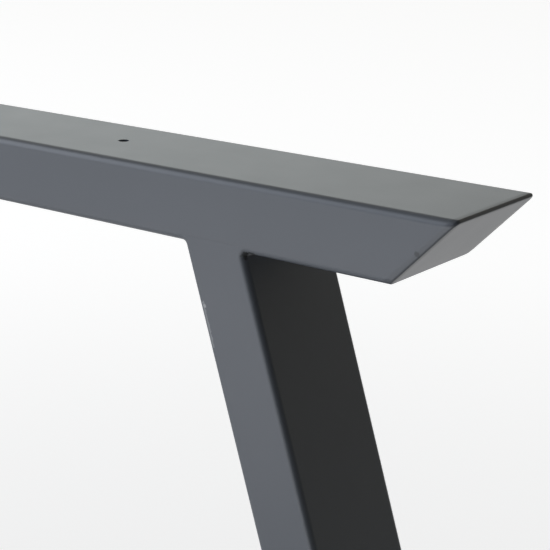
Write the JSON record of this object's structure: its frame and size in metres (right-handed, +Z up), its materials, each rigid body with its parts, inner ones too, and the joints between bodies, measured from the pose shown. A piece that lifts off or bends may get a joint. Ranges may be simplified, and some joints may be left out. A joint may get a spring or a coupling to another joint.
{
  "type": "table leg frame",
  "caption": "Splayed table leg frame of welded rectangular steel tube: flat top bar with undercut closed ends, slanting legs, foot plates with glides, satin grey coat.",
  "frame": {"origin": "on the floor, midway between the legs and between the front and back faces of the frame", "axes": "+X along the bar towards the right leg, +Y from the front face to the back face, +Z up"},
  "size_m": [0.8606, 0.08, 0.72],
  "materials": {
    "coated_bar": "satin dark grey powder coat",
    "coated_plate": "satin dark grey powder coat over a ground plate",
    "coated_leg": "satin dark grey powder coat, worn at one edge",
    "coated_weld": "satin dark grey powder coat over a weld",
    "glide_plastic": "matte black moulded plastic"
  },
  "bodies": {
    "root": {"top_bar": "coated_bar", "end_plate_left": "coated_plate", "leg_left": "coated_leg", "weld_left": "coated_weld", "foot_plate_left": "coated_plate", "end_plate_right": "coated_plate", "leg_right": "coated_leg", "weld_right": "coated_weld", "foot_plate_right": "coated_plate", "glide_left_front": "glide_plastic", "glide_left_back": "glide_plastic", "glide_right_front": "glide_plastic", "glide_right_back": "glide_plastic"}
  },
  "joints": []
}
